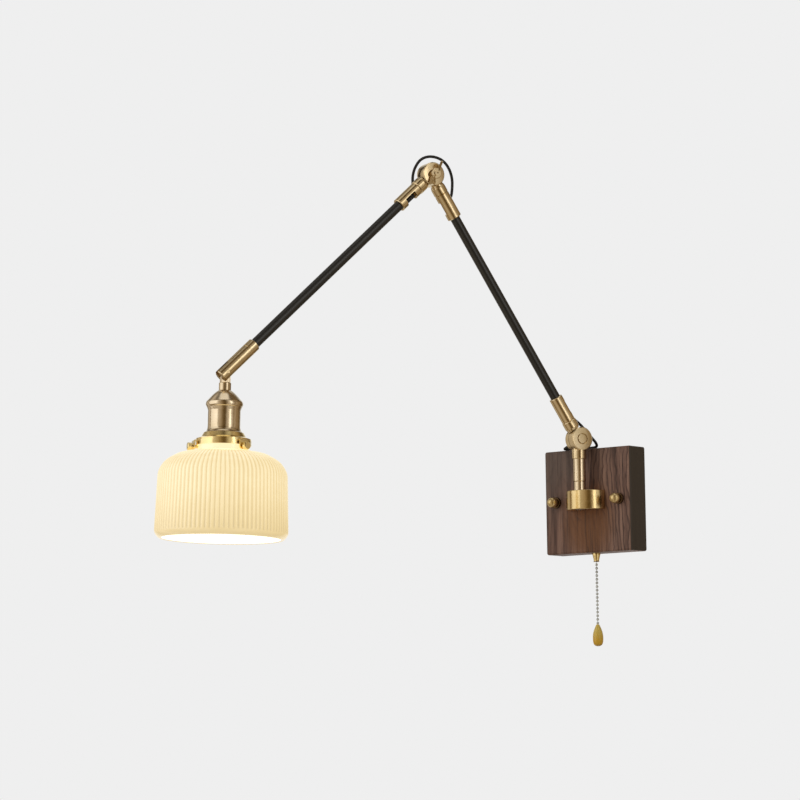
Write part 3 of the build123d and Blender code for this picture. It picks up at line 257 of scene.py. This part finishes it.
def stained_wood():
    """Dark stained ash: upright streaks, wavy rings on the right, arched ones low on the left, open pores.

    The stain is warmer below the middle of the front. Greyer towards its upper left is a painted sheen,
    and the duller, darker tone of the sides is painted shade.
    Stretched noise has its waves per metre across, into and up the block.
    """
    material, place, feed = finish("stained_wood", {"IOR": 1.35})
    x = place.axis((1.0, 0.0, 0.0))
    y = place.axis((0.0, 1.0, 0.0))
    z = place.axis((0.0, 0.0, 1.0))
    streak = place.stretched((120.0, 60.0, 6.0)).noise(1.0, 4.0, 0.6)
    vein = place.stretched((460.0, 300.0, 15.0)).noise(1.0, 3.0, 0.6)
    fibre = place.stretched((1500.0, 1300.0, 35.0)).noise(1.0, 2.0, 0.6)
    drift = place.stretched((24.0, 24.0, 12.0)).noise(1.0, 3.0)
    waver = place.stretched((75.0, 75.0, 70.0)).noise(1.0, 2.0)

    heart = x + 0.043 + y * 0.35
    near = 1.0 - (heart * heart).step(0.0, 0.0010)
    arch = (heart * heart + 0.00006) ** 0.5 + near * (z + 0.06) * 0.12
    ring_width = 0.0058
    ring = (arch + y * 0.5 + drift * 0.034 + waver * 0.0030) / ring_width
    phase = ring.node("ShaderNodeMath", {"operation": "FRACT"}, {0: ring})
    late = phase.step(0.45, 0.85) * (1.0 - phase.step(0.88, 1.0))
    shown = place.stretched((45.0, 45.0, 16.0)).noise(1.0, 2.0) + x * 3.0
    late = late * (0.20 + 0.80 * shown.step(0.40, 0.68))
    pore = place.stretched((2100.0, 2000.0, 70.0)).noise(1.0, 1.0).step(0.60, 0.70)
    pore = pore * (0.25 + 0.75 * late)

    low = (z + 0.025) / 0.045
    warm = 1.0 - (x * x / 0.0014 + low * low).step(0.1, 1.5)
    # painted sheen: the front greys towards its upper left
    painted_sheen = (z * 8.0 - x * 7.0 + 0.2 * drift).step(0.10, 0.80)
    sides = (x * x).step(0.00335, 0.00352)
    tone = streak.step(0.34, 0.66).tint((0.120, 0.056, 0.038), (0.420, 0.232, 0.158))
    tone = (warm * 0.85).tint(tone, (0.235, 0.086, 0.021))
    # painted sheen greys the upper left of the front
    tone = (painted_sheen * 0.72).tint(tone, (0.172, 0.126, 0.098))
    tone = (vein.step(0.48, 0.72) * 0.60).tint(tone, (0.070, 0.036, 0.024))
    tone = (late * 0.72).tint(tone, (0.052, 0.027, 0.019))
    tone = (fibre.step(0.50, 0.78) * 0.35).tint(tone, (0.260, 0.160, 0.105))
    tone = (pore * 0.85).tint(tone, (0.016, 0.010, 0.008))
    # painted shade: the side faces take a duller, darker tone than the front
    painted_side_shade = (vein * 0.5 + streak * 0.5).tint((0.060, 0.046, 0.033), (0.108, 0.082, 0.058))
    height = fibre * 0.35 - pore - late * 0.4
    feed(Base_Color=sides.tint(tone, painted_side_shade), Roughness=0.42 + 0.20 * fibre + 0.2 * pore,
         Normal=height.bump(0.40, 0.0004))
    return material


def turned_brass(name, direction, bright, dark, centre=None, shade_span=None, satin=0.14):
    """Antique brass, satin, with turning lines across a direction, clouds of wear and a few dull spots.

    Between two distances along the direction, where given, painted shade closes the colour to dark brown.
    Discs round a centre are polished slightly crowned: their face falls with the square of the distance from
    the pivot's axis.
    """
    material, place, feed = finish(name, {"Metallic": 1.0, "Coat Roughness": 0.2, "Coat Weight": 0.12})
    along = place.axis(tuple(direction))
    fine = {"W": along, "Scale": 1300.0, "Detail": 2.0}
    lines = along.node("ShaderNodeTexNoise", {"noise_dimensions": "1D"}, fine, "Fac")
    cloud = place.noise(48.0, 4.0, 0.55)
    spots = place.noise(420.0, 2.0).step(0.70, 0.80)
    wear = cloud.step(0.30, 0.72) * 0.75 + lines.step(0.30, 0.70) * 0.25
    tone = wear.tint(dark, bright)
    tone = (spots * 0.30).tint(tone, (0.26, 0.15, 0.055))
    # painted shade: dark brown between two distances, as on a cap nut's flange behind its ball
    if shade_span is not None:
        tone = (along.step(*shade_span) * 0.92).tint(tone, (0.07, 0.034, 0.015))
    height = (cloud + lines * 0.008) * 0.0004
    if centre is not None:
        offset = place.node("ShaderNodeVectorMath", {"operation": "SUBTRACT"}, {0: place, 1: tuple(centre)})
        along_pivot = offset.axis(tuple(PIVOT_AXIS))
        spread = offset.axis(offset) - along_pivot * along_pivot
        height = height - spread.capped(DISC_RADIUS**2) * DISC_CROWN
    feed(Base_Color=tone, Roughness=satin + 0.07 * cloud + 0.04 * lines + 0.08 * spots,
         Normal=height.bump(1.0, 1.0))
    return material


def satin_black():
    """Satin black paint with the faint orange peel of a sprayed tube and a few dust nibs."""
    material, place, feed = finish("satin_black", {"IOR": 1.5, "Coat Weight": 0.25, "Coat Roughness": 0.3})
    peel = place.noise(700.0, 2.0)
    cloud = place.noise(45.0, 3.0)
    nib = place.noise(2600.0, 1.0).step(0.72, 0.80)
    tone = (cloud * 0.6 + nib * 0.4).tint((0.0085, 0.0085, 0.008), (0.019, 0.0185, 0.0175))
    feed(Base_Color=tone, Roughness=0.30 + 0.10 * cloud + 0.05 * peel, Normal=(peel + nib).bump(0.08, 0.0002))
    return material


def black_rubber(name):
    """Matt black rubber with a fine moulded grain and a dusty bloom."""
    material, place, feed = finish(name, {"IOR": 1.5})
    grain = place.noise(2200.0, 3.0)
    bloom = place.noise(120.0, 4.0)
    tone = bloom.step(0.35, 0.75).tint((0.006, 0.006, 0.006), (0.017, 0.017, 0.017))
    feed(Base_Color=tone, Roughness=0.42 + 0.16 * bloom + 0.08 * grain, Normal=grain.bump(0.12, 0.00015))
    return material


def porcelain():
    """Cream porcelain lit from inside: its glow is carried by the surface, with a clear glaze over it."""
    constants = {"IOR": 1.5, "Coat Weight": 0.5, "Coat Roughness": 0.08, "Emission Strength": 1.0}
    material, place, feed = finish("porcelain", constants)
    light = place.node("ShaderNodeAttribute", {"attribute_name": "glow"}, {}, "Fac")
    inside = place.node("ShaderNodeAttribute", {"attribute_name": "inside"}, {}, "Fac")
    mottle = place.noise(90.0, 3.0)
    speck = place.noise(1400.0, 1.0).step(0.74, 0.80)
    body = mottle.tint((0.325, 0.315, 0.295), (0.36, 0.345, 0.32))
    body = (speck * 0.3).tint(body, (0.32, 0.27, 0.19))
    outer = light * (0.96 + 0.08 * mottle)
    outer = outer.ramp([(0.0, (0.0, 0.0, 0.0)), (0.8, (0.755, 0.57, 0.25)), (1.0, (0.905, 0.75, 0.435))])
    glow = inside.tint(outer, (1.15, 1.05, 0.86))
    feed(Base_Color=body, Emission_Color=glow, Roughness=0.22 + 0.10 * mottle,
         Normal=mottle.bump(0.05, 0.0004))
    return material


def lit_glass():
    """Opal bulb, brightest at its belly, by the depth below the tilt pivot."""
    material, place, feed = finish("lit_glass", {"Roughness": 0.2, "Emission Strength": 7.0})
    depth = float(PIVOT["tilt"] @ HEAD_UP) - place.axis(tuple(HEAD_UP))
    feed(Emission_Color=depth.step(0.070, 0.115).tint((0.75, 0.52, 0.26), (1.0, 0.86, 0.62)))
    return material


def plated(name, tone, rough):
    """Plated metal with a little cloud and hairline scratches."""
    material, place, feed = finish(name, {"Metallic": 1.0})
    cloud = place.noise(160.0, 4.0)
    hair = place.stretched((4000.0, 300.0, 300.0)).noise(1.0, 1.0)
    dim = tuple(0.72 * value for value in tone)
    feed(Base_Color=cloud.step(0.3, 0.7).tint(dim, tone), Roughness=rough + 0.10 * cloud + 0.06 * hair,
         Normal=hair.bump(0.05, 0.0001))
    return material


def lacquered_wood():
    """Golden lacquered wood: faint upright grain under a gloss coat, a painted highlight at the top, painted
    shade at the foot.
    """
    material, place, feed = finish("lacquered_wood", {"Coat Weight": 0.3, "Coat Roughness": 0.15, "IOR": 1.3})
    grain = place.stretched((500.0, 500.0, 40.0)).noise(1.0, 2.0, 0.5)
    height = place.axis((0.0, 0.0, 1.0))
    # painted highlight towards the top and painted shade at the foot
    painted_highlight = height.step(-0.164, -0.147)
    painted_foot_shade = 1.0 - height.step(-0.1672, -0.1635)
    tone = grain.step(0.25, 0.80).tint((0.90, 0.48, 0.034), (0.97, 0.55, 0.048))
    tone = painted_foot_shade.tint(painted_highlight.tint(tone, (1.0, 0.70, 0.15)), (0.62, 0.34, 0.040))
    feed(Base_Color=tone, Roughness=0.26 + 0.08 * grain, Normal=grain.bump(0.01, 0.0001))
    return material


def moulded(name, tone, rough):
    """Moulded or fired insulating body with a fine grain."""
    material, place, feed = finish(name, {"IOR": 1.5})
    grain = place.noise(1800.0, 3.0)
    cloud = place.noise(140.0, 3.0)
    dim = tuple(0.86 * value for value in tone)
    feed(Base_Color=cloud.tint(dim, tone), Roughness=rough + 0.12 * grain, Normal=grain.bump(0.08, 0.0001))
    return material


def grid_faces(rows, columns):
    """Corner numbers of the quads of a grid whose rows and columns both close on themselves."""
    row, column = np.meshgrid(np.arange(rows), np.arange(columns), indexing="ij")
    next_row, next_column = (row + 1) % rows, (column + 1) % columns
    corners = [row * columns + column, next_row * columns + column]
    corners += [next_row * columns + next_column, row * columns + next_column]
    return np.stack(corners, axis=-1).reshape(-1, 4)


def new_piece(name, points, faces, material):
    """Smooth mesh object from an array of points and a list of faces."""
    mesh = bpy.data.meshes.new(name)
    mesh.from_pydata(points.tolist(), [], faces)
    mesh.shade_smooth()
    mesh.materials.append(material)
    piece = bpy.data.objects.new(name, mesh)
    bpy.context.scene.collection.objects.link(piece)
    return piece


def keep(mesh, name, values):
    """Stores one number for each point of a mesh under a name."""
    mesh.attributes.new(name, "FLOAT", "POINT").data.foreach_set("value", values.astype(np.float32).ravel())


def span(start, end, leave, arrive, count):
    """Cubic run between two points that leaves and arrives along given slopes, without its last point."""
    start, end = np.array(start), np.array(end)
    t = np.linspace(0.0, 1.0, count, endpoint=False)[:, None]
    reach = np.linalg.norm(end - start)
    first = np.array(leave) / np.linalg.norm(leave) * reach
    last = np.array(arrive) / np.linalg.norm(arrive) * reach
    blend = (2 * t**3 - 3 * t**2 + 1) * start + (t**3 - 2 * t**2 + t) * first
    return blend + (3 * t**2 - 2 * t**3) * end + (t**3 - t**2) * last


def run(start, end, count):
    """Straight run between two points, without its last point."""
    return np.linspace(start, end, count, endpoint=False)


def ease(values, low, high):
    """0 below low, 1 above high and a smooth rise between them."""
    t = np.clip((values - low) / (high - low), 0.0, 1.0)
    return t * t * (3 - 2 * t)


def ribbed_shade(material):
    """Closed outline of the shade's wall, radius and drop in millimetres, turned about the lamp's axis.

    Each point of the outer side is raised along the outline's normal by the rib height times a crest less
    the rib level. The crest is a power of the absolute cosine of half the rib count times the angle, so
    convex ribs meet in narrow grooves. The glow falls with the square of the distance from the bulb and
    with the slant of the wall to its rays.
    """
    outline = np.concatenate([
        run((25.0, 77.0), (27.9, 77.0), 4),
        span((27.9, 77.0), (28.2, 77.3), (1.0, 0.2), (0.2, 1.0), 3),
        run((28.2, 77.3), (28.2, 85.6), 8),
        span((28.2, 85.6), (31.4, 87.7), (0.0, 1.0), (1.0, 0.15), 7),
        span((31.4, 87.7), (51.8, 92.2), (1.0, 0.15), (0.87, 0.49), 14),
        span((51.8, 92.2), (64.6, 101.2), (0.87, 0.49), (0.62, 0.78), 12),
        span((64.6, 101.2), (70.6, 115.0), (0.62, 0.78), (0.03, 1.0), 12),
        run((70.6, 115.0), (72.6, 171.6), 20),
        span((72.6, 171.6), (72.5, 176.4), (0.03, 1.0), (-0.10, 1.0), 10),
        span((72.5, 176.4), (67.9, 183.0), (-0.10, 1.0), (-0.8, 0.6), 10),
        span((67.9, 183.0), (64.6, 182.2), (-0.8, 0.6), (0.5, -0.86), 7),
        span((64.6, 182.2), (69.4, 171.6), (0.7, -0.7), (0.0, -1.0), 8),
        run((69.4, 171.6), (67.4, 115.0), 10),
        span((67.4, 115.0), (62.0, 103.1), (-0.03, -1.0), (-0.62, -0.78), 8),
        span((62.0, 103.1), (50.7, 95.2), (-0.62, -0.78), (-0.87, -0.49), 8),
        span((50.7, 95.2), (25.0, 90.4), (-0.87, -0.49), (-1.0, -0.15), 8),
        run((25.0, 90.4), (25.0, 77.0), 6),
    ])
    radius, drop = outline.T
    slope = np.roll(outline, -1, axis=0) - np.roll(outline, 1, axis=0)
    slope /= np.linalg.norm(slope, axis=1)[:, None]
    normal = np.stack([slope[:, 1], -slope[:, 0]], axis=1)
    outer_end = int(np.argmax(drop))
    index = np.arange(len(outline))
    ribbed = ease(radius, 32.0, 42.0) * (1.0 - ease(drop, 175.5, 178.5)) * (index < outer_end)

    angle = np.linspace(0.0, 2 * np.pi, RIB_COUNT * RIB_STEPS, endpoint=False)
    crest = np.abs(np.cos(RIB_COUNT * angle / 2)) ** RIB_POWER
    lift = RIB_HEIGHT * ribbed[:, None] * (crest[None, :] - RIB_LEVEL)
    around = radius[:, None] + normal[:, :1] * lift
    down = drop[:, None] + normal[:, 1:] * lift
    side = np.cross(HEAD_UP, PIVOT_AXIS)
    outwards = np.cos(angle)[:, None] * PIVOT_AXIS + np.sin(angle)[:, None] * side
    points = PIVOT["tilt"] - down[..., None] * HEAD_UP / 1000
    points = points + around[..., None] * outwards / 1000
    faces = grid_faces(*around.shape).tolist()
    piece = new_piece("ribbed_shade", points.reshape(-1, 3), faces, material)

    reach = np.hypot(radius, drop - BULB_DROP)
    facing = np.abs(normal[:, 0] * radius + normal[:, 1] * (drop - BULB_DROP)) / reach
    lit = 0.66 + 0.34 * np.clip(facing * (BULB_REACH / reach) ** 2, 0.0, 1.3)
    lit *= 1.0 - 0.03 * ease(drop, 166.0, 180.0) - 0.15 * ease(drop, 175.0, 182.0)
    lit += 0.5 * (1.0 - ease(drop, 82.0, 89.0))
    groove = 1.0 - RIB_SHADE * ribbed[:, None] * (1.0 - crest[None, :])
    keep(piece.data, "glow", np.clip(lit[:, None] * groove, 0.0, 1.0))
    inner_start = outer_end + 4     # past the rounded lip
    hidden = ((index >= inner_start) & (drop > 84.0)).astype(float)
    keep(piece.data, "inside", np.repeat(hidden, len(angle)))
    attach(piece, "head")
    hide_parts("shade")


def cable_line(name, route):
    """Points along a smooth spline whose control points are the route."""
    curve = bpy.data.curves.new(name, "CURVE")
    curve.dimensions = "3D"
    curve.resolution_u = CABLE_STEPS
    spline = curve.splines.new("NURBS")
    spline.points.add(len(route) - 1)
    for point, place in zip(spline.points, route):
        point.co = (*place, 1.0)
    spline.order_u = 3
    spline.use_endpoint_u = True
    holder = bpy.data.objects.new(name, curve)
    bpy.context.scene.collection.objects.link(holder)
    bpy.context.view_layer.update()
    line = bpy.data.meshes.new_from_object(holder)
    points = np.array([vertex.co for vertex in line.vertices])
    bpy.data.objects.remove(holder)
    bpy.data.meshes.remove(line)
    bpy.data.curves.remove(curve)
    return points


def section_zero(tangent):
    """Direction that stays furthest from every tangent, of many spread over a sphere in a golden spiral."""
    spread = np.arange(SECTION_CHOICES) + 0.5
    height = 1 - 2 * spread / SECTION_CHOICES
    turn = np.pi * (1 + 5**0.5) * spread
    flat = np.sqrt(1 - height**2)
    choices = np.stack([flat * np.cos(turn), flat * np.sin(turn), height], axis=1)
    return choices[np.argmin(np.abs(choices @ tangent.T).max(axis=1))]


def cable(name, route, node, material):
    """Round section carried along the cable's line and closed by a flat fan at each end.

    The section's zero direction is one fixed direction made square to each tangent of the line.
    """
    line = cable_line(name + "_line", route)
    tangent = np.gradient(line, axis=0)
    tangent /= np.linalg.norm(tangent, axis=1)[:, None]
    zero = section_zero(tangent)
    first = zero - (tangent @ zero)[:, None] * tangent
    first /= np.linalg.norm(first, axis=1)[:, None]
    second = np.cross(tangent, first)
    angle = np.linspace(0.0, 2 * np.pi, CABLE_SIDES, endpoint=False)
    section = np.cos(angle)[:, None] * first[:, None, :] + np.sin(angle)[:, None] * second[:, None, :]
    skin = (line[:, None, :] + CABLE_RADIUS * section).reshape(-1, 3)
    points = np.concatenate([skin, line[:1], line[-1:]])

    last_row = len(skin) - CABLE_SIDES
    sides = grid_faces(len(line), CABLE_SIDES)[:last_row]
    ring = np.arange(CABLE_SIDES)
    next_ring = (ring + 1) % CABLE_SIDES
    middle = np.full(CABLE_SIDES, len(skin))
    start_fan = np.stack([middle, ring, next_ring], axis=1)
    end_fan = np.stack([middle + 1, last_row + next_ring, last_row + ring], axis=1)
    faces = [face for patch in (sides, start_fan, end_fan) for face in patch[:, ::-1].tolist()]
    piece = new_piece(name, points, faces, material)

    length = float(np.linalg.norm(np.diff(line, axis=0), axis=1).sum())
    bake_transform(piece)
    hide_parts(node)


def add_camera():
    """Camera turned about its target by azimuth, elevation and roll, with the photograph's focal length."""
    azimuth, elevation, roll = radians(CAMERA_AZIMUTH), radians(CAMERA_ELEVATION), radians(CAMERA_ROLL)
    back = Vector((sin(azimuth) * cos(elevation), -cos(azimuth) * cos(elevation), sin(elevation)))
    right = Vector((cos(azimuth), sin(azimuth), 0.0))
    top = back.cross(right)
    turned_right = right * cos(roll) + top * sin(roll)
    turned_top = top * cos(roll) - right * sin(roll)
    camera = bpy.data.cameras.new("camera")
    camera.sensor_width = SENSOR
    camera.lens = FOCAL_PIXELS / FRAME_PIXELS * SENSOR
    camera.clip_end = CAMERA_REACH
    holder = bpy.data.objects.new("camera", camera)
    bpy.context.scene.collection.objects.link(holder)
    turn = Matrix((turned_right, turned_top, back)).transposed().to_4x4()
    holder.matrix_world = Matrix.Translation(CAMERA_TARGET + back * CAMERA_DISTANCE) @ turn
    bpy.context.scene.camera = holder


def add_softbox(name, azimuth, elevation, distance, size, power, tint):
    """Flat rectangular light that faces the lamp from a direction round it."""
    side, rise = radians(azimuth), radians(elevation)
    back = Vector((sin(side) * cos(rise), -cos(side) * cos(rise), sin(rise)))
    light = bpy.data.lights.new(name, "AREA")
    light.shape = "RECTANGLE"
    light.size, light.size_y = size
    light.energy = power
    light.color = tint
    holder = bpy.data.objects.new(name, light)
    bpy.context.scene.collection.objects.link(holder)
    holder.location = CAMERA_TARGET + back * distance
    holder.rotation_mode = "QUATERNION"
    holder.rotation_quaternion = back.to_track_quat("Z", "Y")


def grey(level):
    """Neutral colour of a brightness."""
    return level, level, level


def room_colour(level):
    """Colour of the surroundings at a brightness: warm where dim and near white where bright."""
    return level, level * min(1.0, 0.56 + 0.55 * level), level * min(1.0, 0.08 + 1.1 * level)


def add_floor():
    """Pale floor far below the lamp. Metal doesn't mirror it, and the camera alone sees it brighter."""
    corners = FLOOR_EDGE * np.array([(-1.0, -1.0), (1.0, -1.0), (1.0, 1.0), (-1.0, 1.0)])
    points = np.column_stack([corners, np.full(4, FLOOR_HEIGHT)])
    material, place, feed = finish("floor", {"Roughness": 0.9, "Emission Strength": 1.0})
    seen = place.node("ShaderNodeLightPath", {}, {}, "Is Camera Ray")
    feed(Base_Color=place.noise(3.0, 2.0).tint(grey(0.78), grey(0.80)),
         Emission_Color=seen.tint(grey(0.0), grey(FLOOR_SEEN)))
    floor = new_piece("floor", points, [[0, 1, 2, 3]], material)
    floor.visible_glossy = False


def add_surroundings():
    """Pale backdrop for the camera, plain light all round, and panels and a ceiling that metal mirrors."""
    world = bpy.data.worlds.new("studio")
    world.use_nodes = True
    bpy.context.scene.world = world
    tree = world.node_tree
    way = Wire(tree, tree.nodes.new("ShaderNodeTexCoord").outputs["Generated"])
    azimuth = radians(CAMERA_AZIMUTH)
    across = way.axis((cos(azimuth), sin(azimuth), 0.0))
    towards = way.axis((sin(azimuth), -cos(azimuth), 0.0))
    turn = across.sum("ARCTAN2", across, towards) / (2 * np.pi) + 0.5
    rise = way.axis((0.0, 0.0, 1.0))
    panels = turn.ramp([(0.5 + degrees / 360, room_colour(level)) for degrees, level in SURROUNDINGS])
    bands = rise.ramp([(height, grey(level)) for height, level in OVERHEAD])
    mirrored = rise.step(*CEILING_RISE).tint(panels.stretched(bands), CEILING)
    camera_ray = way.node("ShaderNodeLightPath", {}, {}, "Is Camera Ray")
    light_path = camera_ray.socket.node
    glossy = Wire(tree, light_path.outputs["Is Glossy Ray"])
    through = Wire(tree, light_path.outputs["Is Transmission Ray"])
    colour = (glossy + through).tint(ROOM_LIGHT, mirrored)
    colour = camera_ray.tint(colour, grey(BACKDROP))
    tree.links.new(colour.socket, tree.nodes["Background"].inputs["Color"])


add_camera()
cable_rubber = black_rubber("cable_rubber")
cable("shoulder_cable_slack", SHOULDER_ROUTE, "shoulder_cable",
      cable_rubber)
cable("elbow_cable_arch", ELBOW_ROUTE, "elbow_cable",
      cable_rubber)
ribbed_shade(porcelain())

finishes = [
    (turned_brass("bracket_brass", UP, *YELLOW_BRASS), "swivel_bracket"),
    (turned_brass("post_brass", UP, *PALE_BRASS), "swivel_collar post_tube"),
    (turned_brass("shoulder_brass", UP, *BRASS, centre=PIVOT["shoulder"]), "post_knuckle"),
    (turned_brass("stud_brass", TO_WALL, *YELLOW_BRASS, shade_span=STUD_SHADE_SPAN, satin=0.30), "cap_nuts"),
    (turned_brass("lower_brass", LOWER_DIR, *BRASS, centre=PIVOT["elbow"]),
     "lower_knuckle lower_sleeve lower_top_sleeve lower_top_knuckle"),
    (turned_brass("upper_brass", UPPER_DIR, *BRASS, centre=PIVOT["elbow"]),
     "upper_knuckle upper_sleeve fork_sleeve tilt_pin"),
    (turned_brass("pivot_brass", PIVOT_AXIS, *BRASS, centre=PIVOT["shoulder"]), "shoulder_screw wing_screw"),
    (turned_brass("head_brass", HEAD_UP, *PALE_BRASS),
     "head_tongue holder_cap holder_shell screw_shell centre_contact"),
    # the gallery's bright tone is partly painted light from the shade's glow
    (turned_brass("bright_brass", UP, *BRIGHT_BRASS), "shade_gallery gallery_screws pull_nozzle"),
    (stained_wood(), "wall_block"),
    (lacquered_wood(), "pull_drop"),
    (satin_black(), "lower_tube upper_tube"),
    (black_rubber("bush_rubber"), "lower_bushes upper_bush lower_wire upper_wire"),
    (plated("nickel", (0.80, 0.87, 0.93), 0.12), "pull_chain"),
    (plated("zinc", (0.60, 0.61, 0.63), 0.34),
     "mounting_strap strap_studs bracket_nut spindle_nut nozzle_nut shoulder_nut "
     "swivel_spindle bracket_nipple"),
    (plated("bulb_metal", (0.70, 0.70, 0.71), 0.26), "bulb_base"),
    (moulded("washer_plastic", (0.74, 0.73, 0.69), 0.45),
     "shoulder_washer elbow_washer terminal_block pull_switch"),
    (moulded("socket_ceramic", (0.80, 0.79, 0.75), 0.5), "socket_core socket_ring"),
    (lit_glass(), "bulb_glass"),
]
for material, group in finishes:
    for node in group.split():
        nodes[node].data.materials.clear()
        nodes[node].data.materials.append(material)

add_floor()
add_surroundings()
for softbox in SOFTBOXES:
    add_softbox(*softbox)

bpy.context.scene.view_settings.view_transform = "Standard"
